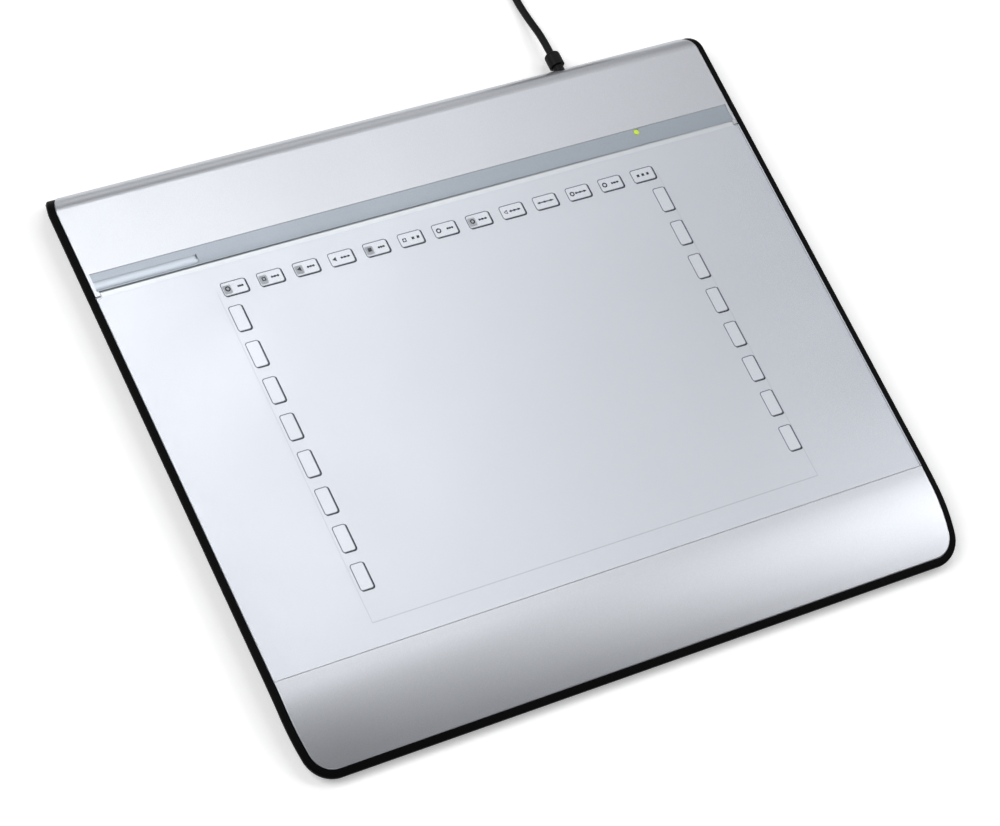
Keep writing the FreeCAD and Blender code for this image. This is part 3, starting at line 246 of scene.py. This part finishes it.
def strip_plastic():
    """Blue-grey satin paint sprayed on the moulded pen rest, with a painted highlight: paler down in its
    pen groove.
    """
    made = pearl("blue_grey_paint", "#949CA4", "#9DA4AD", 0.34, 0.6, 0.0012, level=0.8)
    tree = made.node_tree
    colour = tree.nodes["Principled BSDF"].inputs["Base Color"]
    place = tree.nodes["Mapping"].outputs["Vector"]
    height = add(tree, "ShaderNodeSeparateXYZ", {"Vector": place}, "Z")
    groove_highlight = add(tree, "ShaderNodeMapRange", {
        "Value": height, "From Min": HOLLOW_Z * MM, "From Max": (HOLLOW_Z - GROOVE_DEPTH) * MM})
    # Painted highlight: the pen groove gets a paler colour the deeper it lies.
    set_inputs(tree, tree.nodes["Principled BSDF"], {
        "Base Color": add(tree, "ShaderNodeMix", {0: groove_highlight, 6: colour.links[0].from_socket,
                                                  7: rgb("#B6BEC7")}, 2, data_type="RGBA")})
    return made


def clear_overlay():
    """Clear polycarbonate sheet, satin above: faintly blue, with a pearl margin and cut edges painted pale
    as a highlight.

    The margin hides the hinge. It and the painted edge highlight are solid to camera rays only, so the
    lamps' light passes them.
    """
    made, tree, shader, place = new_material("clear_sheet")
    split = add(tree, "ShaderNodeSeparateXYZ", {"Vector": place}).node.outputs
    rear = add(tree, "ShaderNodeMath", {0: split["Y"], 1: HINGE_MARGIN * MM}, operation="GREATER_THAN")
    skin = add(tree, "ShaderNodeMath", {0: split["Z"], 1: TOP_SKIN * MM}, operation="GREATER_THAN")
    margin = add(tree, "ShaderNodeMath", {0: rear, 1: skin}, operation="MULTIPLY")
    facing = add(tree, "ShaderNodeTexCoord", out="Normal")
    upright = add(tree, "ShaderNodeSeparateXYZ", {"Vector": facing}, "Z")
    rise = add(tree, "ShaderNodeMath", {0: upright}, operation="ABSOLUTE")
    highlit_edge = add(tree, "ShaderNodeMath", {0: rise, 1: CUT_EDGE}, operation="LESS_THAN")

    haze = add(tree, "ShaderNodeTexNoise", {"Vector": place, "Scale": 1 / (60.0 * MM)})
    drift = add(tree, "ShaderNodeTexNoise", {"Vector": place, "Scale": 1 / (45.0 * MM)})
    grain = add(tree, "ShaderNodeTexNoise", {"Vector": place, "Scale": 1 / (0.25 * MM)})
    film = add(tree, "ShaderNodeMix", {0: haze, 6: rgb("#C1C5CA"), 7: rgb("#CED1D4")}, 2, data_type="RGBA")
    # Painted highlight: the cut edges take a pale colour in place of the film's.
    set_inputs(tree, shader, {
        "Base Color": add(tree, "ShaderNodeMix", {0: highlit_edge, 6: film, 7: rgb("#EEF0F6")}, 2,
                          data_type="RGBA"),
        "Roughness": add(tree, "ShaderNodeMapRange", {
            "Value": drift, **CLOUDS, "To Min": 0.31, "To Max": 0.34}),
        "Metallic": add(tree, "ShaderNodeMapRange", {"Value": highlit_edge, "To Min": FLAKES, "To Max": 0.0}),
        "Normal": add(tree, "ShaderNodeBump", {"Height": grain, "Distance": 0.001 * MM})})

    clear = add(tree, "ShaderNodeBsdfTransparent", {"Color": rgb("#F8FAFD")})
    solid = add(tree, "ShaderNodeMath", {0: margin, 1: highlit_edge}, operation="MAXIMUM")
    seen = add(tree, "ShaderNodeLightPath", out="Is Camera Ray")
    shown = add(tree, "ShaderNodeMath", {0: solid, 1: seen}, operation="MULTIPLY")
    share = add(tree, "ShaderNodeMath", {0: shown, 1: SHEEN}, operation="MAXIMUM")
    both = add(tree, "ShaderNodeMixShader", {0: share, 1: clear, 2: shader.outputs[0]})
    tree.links.new(both, tree.nodes["Material Output"].inputs["Surface"])
    return made


def light_lens():
    """Clear acrylic lens, moulded and smooth, lit from below by a yellow-green light."""
    made, tree, shader, place = new_material("lit_lens")
    glow = add(tree, "ShaderNodeTexNoise", {"Vector": place, "Scale": 1 / (1.2 * MM)})
    set_inputs(tree, shader, {
        "Base Color": add(tree, "ShaderNodeMix", {0: glow, 6: rgb("#BED840"), 7: rgb("#CFE556")}, 2,
                          data_type="RGBA"),
        "Roughness": 0.25,
        "Emission Color": add(tree, "ShaderNodeMix", {0: glow, 6: rgb("#A6C82A"), 7: rgb("#C4DC50")}, 2,
                              data_type="RGBA"),
        "Emission Strength": 0.12})
    return made


def woven_strap():
    """Black nylon strap, woven: dull, with over and under ribs in both directions."""
    made, tree, shader, place = new_material("woven_strap")
    ribs = {"Vector": place, "Scale": 1 / (STRAP_RIB * MM)}
    across = add(tree, "ShaderNodeTexWave", ribs, "Fac", bands_direction="Z")
    along = add(tree, "ShaderNodeTexWave", ribs, "Fac", bands_direction="DIAGONAL")
    height = add(tree, "ShaderNodeMath", {0: across, 1: along}, operation="MULTIPLY")
    set_inputs(tree, shader, {
        "Base Color": add(tree, "ShaderNodeMix", {0: height, 6: rgb("#0B0B0C"), 7: rgb("#1C1C1E")}, 2,
                          data_type="RGBA"),
        "Roughness": 0.85,
        "Normal": add(tree, "ShaderNodeBump", {"Height": height, "Distance": 0.15 * MM})})
    return made


def brushed_metal(name, dark, light, roughness):
    """Plated steel, drawn or rolled: a grey sheen with fine scratches along X."""
    made, tree, shader, place = new_material(name)
    drawn = add(tree, "ShaderNodeMapping", {"Vector": place, "Scale": (0.04, 1.0, 1.0)})
    scratches = add(tree, "ShaderNodeTexNoise", {"Vector": drawn, "Scale": 1 / (0.2 * MM), "Detail": 3.0})
    set_inputs(tree, shader, {
        "Base Color": add(tree, "ShaderNodeMix", {0: scratches, 6: rgb(dark), 7: rgb(light)}, 2,
                          data_type="RGBA"),
        "Metallic": 1.0,
        "Roughness": add(tree, "ShaderNodeMapRange", {
            "Value": scratches, **CLOUDS, "To Min": roughness * 0.8, "To Max": roughness * 1.2}),
        "Normal": add(tree, "ShaderNodeBump", {"Height": scratches, "Distance": 0.003 * MM})})
    return made


def plated(name, dark, light):
    """Bright plating on a pressed metal part: smooth, with hardly any grain."""
    return plain(name, dark, light, 0.25, grain_mm=0.15, depth_mm=0.002, metallic=1.0, broad_mm=4.0)


def circuit_board():
    """Glass-fibre board under green solder mask: satin, with copper tracks showing through faintly."""
    made, tree, shader, place = new_material("circuit_board")
    tracks = add(tree, "ShaderNodeTexBrick", {"Vector": place, "Scale": 1 / (TRACK_PITCH * MM),
                                              "Mortar Size": 0.03}, "Fac")
    drift = add(tree, "ShaderNodeTexNoise", {"Vector": place, "Scale": 1 / (3.0 * MM)})
    set_inputs(tree, shader, {
        "Base Color": add(tree, "ShaderNodeMix", {0: tracks, 6: rgb("#0F4A2A"), 7: rgb("#1B6A3C")}, 2,
                          data_type="RGBA"),
        "Roughness": add(tree, "ShaderNodeMapRange", {
            "Value": drift, **CLOUDS, "To Min": 0.28, "To Max": 0.4}),
        "Normal": add(tree, "ShaderNodeBump", {"Height": tracks, "Distance": 0.03 * MM})})
    return made


def ink(name, dark, light):
    """Screen printing ink: dull and slightly uneven."""
    return plain(name, dark, light, 0.6, grain_mm=0.2, depth_mm=0.003, broad_mm=1.5,
                 more={"Specular IOR Level": 0.2})


def white_ink():
    """Pearl white ink inside the key cells, a little paler than the film under it."""
    return pearl("white_ink", "#E1DDDB", "#EDE9E5", 0.34, 0.4, 0.001)


def frame_ink():
    """Pearl ink of the drawing area's frame, a little darker than the film under it."""
    return pearl("frame_ink", "#C4C1C1", "#D0CDCA", 0.34, 0.4, 0.001)


MATERIALS = {
    silver_paint(): ["upper_cover"],
    black_case(): ["lower_case"],
    strip_plastic(): ["pen_rest_strip"],
    clear_overlay(): ["overlay_flap"],
    key_sheet(): ["hotkey_sheet"],
    light_lens(): ["light_pipe"],
    # Moulded rubber: dull, not quite black, with a coarse grain
    plain("foot_rubber", "#101011", "#19191A", 0.8, 0.5, 0.02): ["rubber_feet"],
    # Zinc-plated screws: middle grey
    brushed_metal("zinc_steel", "#6C6E70", "#8A8C8E", 0.3): ["case_screws", "board_screws"],
    # Rolled tin-plated steel: pale and softer in its sheen than the screws
    brushed_metal("shield_steel", "#A4A6A8", "#BFC1C3", 0.35): ["shield_plate"],
    circuit_board(): ["sensor_board", "controller_board"],
    # Polyimide film: amber and glossy
    plain("amber_film", "#B98A35", "#C79A48", 0.3): ["insulating_film"],
    # Moulded nylon of the sockets: cream, satin
    plain("cream_plastic", "#D8CFB4", "#E2DAC2", 0.45): ["ribbon_socket_sensor", "ribbon_socket_board",
                                                          "wire_header"],
    # Polyester ribbon: cool white and glossy
    plain("ribbon_film", "#C9CDD3", "#D6D9DE", 0.3): ["flat_ribbon"],
    # Moulded epoxy of the chips: matt black
    plain("chip_epoxy", "#0D0D0E", "#161617", 0.5, 0.2, 0.004): ["controller_chip", "memory_chip"],
    # Nickel on a pressed can: bright and warm grey
    plated("nickel_can", "#B9B9B6", "#CDCDCA"): ["crystal"],
    # Fired ceramic: tan, mottled over a millimetre
    plain("tan_ceramic", "#8A6B45", "#A07F55", 0.5, broad_mm=1.0): ["chip_capacitors"],
    # Cast epoxy of the light: pale yellow-green, smooth
    plain("led_epoxy", "#D2D8A8", "#DEE4B8", 0.2): ["status_led"],
    # Extruded vinyl: red, with a low gloss
    plain("red_insulation", "#7E1B16", "#93231C", 0.4): ["cord_wires"],
    # Soft vinyl moulded over the cord's ends: black and dull
    plain("soft_black_plastic", "#080808", "#0F0F10", 0.5, 0.3, 0.004,
          more=DULL): ["strain_relief_boot", "usb_plug_body"],
    # Nickel-plated steel of the plug: bright
    brushed_metal("plug_nickel", "#B4B4B2", "#CACAC8", 0.22): ["usb_plug_shell"],
    # Moulded white nylon: clean and satin
    plain("white_plastic", "#D8D8D6", "#E4E4E2", 0.4): ["usb_plug_tongue"],
    # Gold on pressed contacts: bright yellow
    plated("gold_plating", "#C9A04A", "#D8B25E"): ["usb_plug_contacts"],
    woven_strap(): ["cord_tie"],
}


def dress(material, piece):
    piece.data.materials.clear()
    piece.data.materials.append(material)


for material, names in MATERIALS.items():
    for name in names:
        dress(material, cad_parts[name])


# Cord: one spline from the strain relief to the plug, with the points of the CAD route

def coil_points():
    """In along the table, up a layer, out on top, and up to the tail."""
    inward = [COIL_RADIUS - k * COIL_PITCH / 2 for k in range(COIL_HALF_TURNS + 1)]
    radii = inward + inward[-2::-1]
    level = [0.0] * (COIL_HALF_TURNS - 1)
    climbs = [0.0] + level + [COIL_PITCH] + level + [COIL_PITCH]
    points = []
    x, z, heading = CORD_X, COIL_REST_Z, 1.0
    for radius, climb in zip(radii, climbs):
        centre = x + heading * radius
        reach = radius / math.cos(math.pi / 2 / COIL_STEPS)
        for step in range(COIL_STEPS):
            share = (step + 0.5) / COIL_STEPS
            points.append((centre - heading * reach * math.cos(math.pi * share),
                           COIL_Y + heading * reach * math.sin(math.pi * share), z + climb * share))
        x += heading * 2 * radius
        z += climb
        heading = -heading
    return points, Vector((x, COIL_Y, z))


def cord_points():
    """The route of the CAD cord, in millimetres."""
    z = CORD_REST_Z
    y_boot, z_boot = BOOT_END
    steps = [(0.0, 0.0, z_boot), (0.16, 0.0, z_boot), (0.34, -0.3, z + 1.3), (0.525, -0.6, z),
             (0.69, -0.4, z + 0.1), (0.845, 0.0, COIL_REST_Z)]
    free = [(CORD_X + aside, y_boot + share * CORD_RUN, z) for share, aside, z in steps]
    turns, end = coil_points()
    run, slant = TAIL_RUN, TAIL_RUN / math.sqrt(2)
    y = end.y - 2 * CORD_RADIUS
    rise = PLUG_Z - end.z
    tail = [(end.x, y - run, end.z), (end.x - slant, y - run - slant, end.z + 0.25 * rise),
            (end.x - slant - run, y - run - slant, end.z + 0.7 * rise),
            (end.x - 2 * slant - run, y - run, PLUG_Z), (end.x - 2 * slant - run, y, PLUG_Z)]
    return free + turns + tail


def cord_length(curve):
    """Length of a curve without thickness, read from its own line."""
    line = bpy.data.meshes.new_from_object(curve)
    points = [v.co.copy() for v in line.vertices]
    bpy.data.meshes.remove(line)
    return sum((b - a).length for a, b in zip(points, points[1:]))


def make_cord():
    data = bpy.data.curves.new("usb_cord", "CURVE")
    data.dimensions = "3D"
    data.resolution_u = 6
    spline = data.splines.new("NURBS")
    points = cord_points()
    spline.points.add(len(points) - 1)
    for point, place in zip(spline.points, points):
        point.co = (*(Vector(place) * MM), 1.0)
    spline.order_u = 3
    spline.use_endpoint_u = True
    cord = bpy.data.objects.new("usb_cord", data)
    bpy.context.scene.collection.objects.link(cord)
    length = cord_length(cord)
    data.bevel_depth = CORD_RADIUS * MM
    data.bevel_resolution = 4
    # Extruded soft vinyl: black and dull
    data.materials.append(plain("cord_jacket", "#080808", "#0F0F10", 0.48, 0.5, 0.003, more=DULL))
    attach(cord, "base")
    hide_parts("usb_cable", "usb_cable_coil", "usb_cable_tail")


make_cord()


# Printed frame and key cells

def plate(mesh, x, y, width, height, corner, paint, z=INK_Z):
    """Flat rounded rectangle about a point, as one face."""
    place = Matrix.Translation(Vector((x, y, z)) * MM) @ Matrix.Diagonal((width * MM, height * MM, 1, 1))
    square = bmesh.ops.create_grid(mesh, x_segments=1, y_segments=1, size=0.5, matrix=place)
    round_off = bmesh.ops.bevel(mesh, geom=square["verts"], affect="VERTICES", offset=corner * MM,
                                segments=CORNER_STEPS, profile=0.5, material=-1)
    face = round_off["verts"][0].link_faces[0]
    face.material_index = paint
    return face


def disc(mesh, x, y, sides, radius, paint, z=INK_Z):
    """Regular figure about a point, as one face with a flat side to its right."""
    turn = Matrix.Rotation(math.pi / sides - math.pi / 2, 4, "Z")
    made = bmesh.ops.create_circle(mesh, cap_ends=True, segments=sides, radius=radius * MM,
                                   matrix=Matrix.Translation(Vector((x, y, z)) * MM) @ turn)
    face = made["verts"][0].link_faces[0]
    face.material_index = paint
    return face


def line_in(mesh, face, width, paint):
    """Line of a given width along the inside of a face's border."""
    rim = bmesh.ops.inset_region(mesh, faces=[face], thickness=width * MM, use_boundary=True,
                                 use_even_offset=True)
    for part in rim["faces"]:
        part.material_index = paint


BLACK, GREY, WHITE, PALE, FRAME = range(5)

# Marks of the top row: is there a tile, sides of the small shape (0 for none), is it solid, length
# of the bar, dots in place of the bar
MARKS = [(True, 12, False, 2.4, 0), (True, 4, False, 3.6, 0), (True, 3, True, 3.4, 0),
         (False, 3, True, 4.2, 0), (True, 4, True, 3.0, 0), (False, 4, False, 0.0, 2),
         (False, 12, False, 3.0, 0), (True, 6, False, 4.0, 0), (False, 3, False, 5.2, 0),
         (False, 0, True, 7.6, 0), (False, 6, False, 5.4, 0), (False, 12, False, 3.6, 0),
         (False, 0, True, 0.0, 3)]


def print_cell(mesh, x, y, width, height):
    """White key cell in a thin grey line, over a black one that swells past its right and front."""
    cell = plate(mesh, x, y, width, height, CELL_CORNER, WHITE, FILL_Z)
    line_in(mesh, cell, CELL_LINE, GREY)
    under = plate(mesh, x, y, width + 2 * CELL_RIM, height + 2 * CELL_RIM, CELL_CORNER + CELL_RIM,
                  BLACK, UNDER_Z)
    heaviest = Vector((1.0, -1.0, 0.0)).normalized()
    outward = [-loop.calc_tangent() for loop in under.loops]
    for loop, way in zip(under.loops, outward):
        loop.vert.co += way * max(0.0, way.dot(heaviest)) * CELL_HEAVY_LINE * MM


def print_mark(mesh, x, y, tile, sides, solid, bar, dots):
    """Plain mark: a small shape, on a grey tile or not, and an uneven bar or some dots beside it."""
    left = x - MARK_LEFT
    if tile:
        aside, down = TILE_SHIFT
        plate(mesh, left + aside, y + down, *TILE, TILE_CORNER, PALE, TILE_Z)
    if sides:
        shape = disc(mesh, left, y, sides, MARK_RADIUS, BLACK)
        if not solid:
            line_in(mesh, shape, (MARK_RADIUS - MARK_HOLLOW) * math.cos(math.pi / sides), BLACK)
            bmesh.ops.delete(mesh, geom=[shape], context="FACES_ONLY")
    if bar:
        middle = x + TOP_CELL[0] / 2 - BAR_END - bar / 2
        plate(mesh, middle, y, bar, BAR_WIDTH, BAR_CORNER, GREY)
        for share in BAR_BLOBS:
            disc(mesh, middle + share * bar, y, 8, BLOB_RADIUS, BLACK, INK_Z + 2 * INK_STEP)
    start = x + 1.0 if sides else x - DOT_PITCH
    for i in range(dots):
        disc(mesh, start + DOT_PITCH * i, y, 4, DOT_RADIUS, BLACK)


def print_pieces():
    mesh = bmesh.new()
    plate(mesh, PRINT_ASIDE, FRONT_LINE_Y, ACTIVE_WIDTH, FRONT_LINE, FRONT_LINE_CORNER, FRAME)
    for side in (-1, 1):
        x, y = PRINT_ASIDE + side * ACTIVE_WIDTH / 2, ACTIVE_FRONT + SIDE_LINE_LENGTH / 2
        plate(mesh, x, y, SIDE_LINE, SIDE_LINE_LENGTH, SIDE_LINE_CORNER, FRAME, INK_Z + INK_STEP)
    for i, mark in enumerate(MARKS):
        x = TOP_CELLS_X + TOP_CELL_PITCH * i
        print_cell(mesh, x, TOP_CELLS_Y, *TOP_CELL)
        print_mark(mesh, x, TOP_CELLS_Y, *mark)
    for i in range(SIDE_CELLS):
        for x in SIDE_CELLS_X:
            print_cell(mesh, x, SIDE_CELLS_Y - SIDE_CELL_PITCH * i, *SIDE_CELL)
    data = bpy.data.meshes.new("printed_keys")
    mesh.to_mesh(data)
    mesh.free()
    made = bpy.data.objects.new("printed_keys", data)
    bpy.context.scene.collection.objects.link(made)
    for material in (ink("black_ink", "#0F0F11", "#1A1A1E"), ink("grey_ink", "#62646A", "#6F7178"),
                     white_ink(), ink("pale_ink", "#B4B2B0", "#C1BFBD"), frame_ink()):
        data.materials.append(material)
    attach(made, "base")


print_pieces()


# Floor and light

FLOOR_GLOW = 0.28            # added to the floor where it is seen or mirrored
FLOOR_HALF = 3.0             # in metres, as the lamps' distance is
WORLD_LIGHT = 0.154
LAMP_DISTANCE = 2.2


def floor_material():
    """White paper sweep: matt, and lifted where it is seen or mirrored, so that it comes out white."""
    made, tree, shader, place = new_material("white_sweep")
    clouds = add(tree, "ShaderNodeTexNoise", {"Vector": place, "Scale": 1 / (8.0 * MM)})
    set_inputs(tree, shader, {
        "Base Color": add(tree, "ShaderNodeMix", {0: clouds, 6: rgb("#F4F4F4"), 7: rgb("#F8F8F8")}, 2,
                          data_type="RGBA"),
        "Roughness": 0.9})
    ray = add(tree, "ShaderNodeLightPath").node.outputs
    mirrored = add(tree, "ShaderNodeMath", {0: ray["Is Glossy Ray"], 1: ray["Is Transmission Ray"]},
                   operation="MAXIMUM")
    seen = add(tree, "ShaderNodeMath", {0: ray["Is Camera Ray"], 1: mirrored}, operation="MAXIMUM")
    lift = add(tree, "ShaderNodeMath", {0: seen, 1: FLOOR_GLOW}, operation="MULTIPLY")
    glow = add(tree, "ShaderNodeEmission", {"Color": rgb("#FFFFFF"), "Strength": lift})
    both = add(tree, "ShaderNodeAddShader", {0: shader.outputs[0], 1: glow})
    tree.links.new(both, tree.nodes["Material Output"].inputs["Surface"])
    return made


def make_floor():
    mesh = bmesh.new()
    bmesh.ops.create_grid(mesh, x_segments=2, y_segments=2, size=FLOOR_HALF)
    data = bpy.data.meshes.new("floor")
    mesh.to_mesh(data)
    mesh.free()
    floor = bpy.data.objects.new("floor", data)
    bpy.context.scene.collection.objects.link(floor)
    data.materials.append(floor_material())


def softbox(name, towards, size, radiance):
    """Square area light out along a direction, facing the tablet, of a given surface brightness."""
    data = bpy.data.lights.new(name, "AREA")
    data.shape = "SQUARE"
    data.size = size
    data.energy = radiance * math.pi * size * size
    made = bpy.data.objects.new(name, data)
    bpy.context.scene.collection.objects.link(made)
    direction = Vector(towards).normalized()
    turn = direction.to_track_quat("Z", "Y").to_matrix().to_4x4()
    made.matrix_world = Matrix.Translation(direction * LAMP_DISTANCE) @ turn


def light_world():
    world = bpy.data.worlds.new("world")
    bpy.context.scene.world = world
    world.use_nodes = True
    tree = world.node_tree
    set_inputs(tree, tree.nodes["Background"], {"Color": rgb("#F4F6FA"), "Strength": WORLD_LIGHT})


# Direction, side length in metres and surface brightness of each softbox
SOFTBOXES = [
    ((0.66, -0.15, 0.74), 0.5, 4.23),
    ((0.49, 0.05, 0.87), 0.5, 1.15),
    ((0.66, 0.05, 0.75), 0.5, 4.0),
    ((0.32, 0.25, 0.91), 0.5, 2.5),
    ((0.83, 0.25, 0.50), 0.5, 6.15),
    ((0.15, 0.45, 0.88), 0.5, 4.0),
    ((0.32, 0.45, 0.83), 0.5, 1.54),
    ((0.49, 0.45, 0.75), 0.5, 1.08),
    ((0.49, 0.65, 0.58), 0.5, 0.77),
    ((-0.50, -0.45, 0.75), 1.4, 0.38),
    ((-0.60, 0.30, 0.70), 1.2, 5.08),
    ((0.30, 0.90, 0.35), 1.0, 0.85),
    ((0.00, -0.90, 0.45), 1.6, 0.58),
    ((-0.90, -0.10, 0.42), 1.6, 0.62),
]

make_floor()
light_world()
for number, (towards, size, radiance) in enumerate(SOFTBOXES):
    softbox("softbox_%02d" % number, towards, size, radiance)

bpy.context.scene.view_settings.view_transform = "Standard"
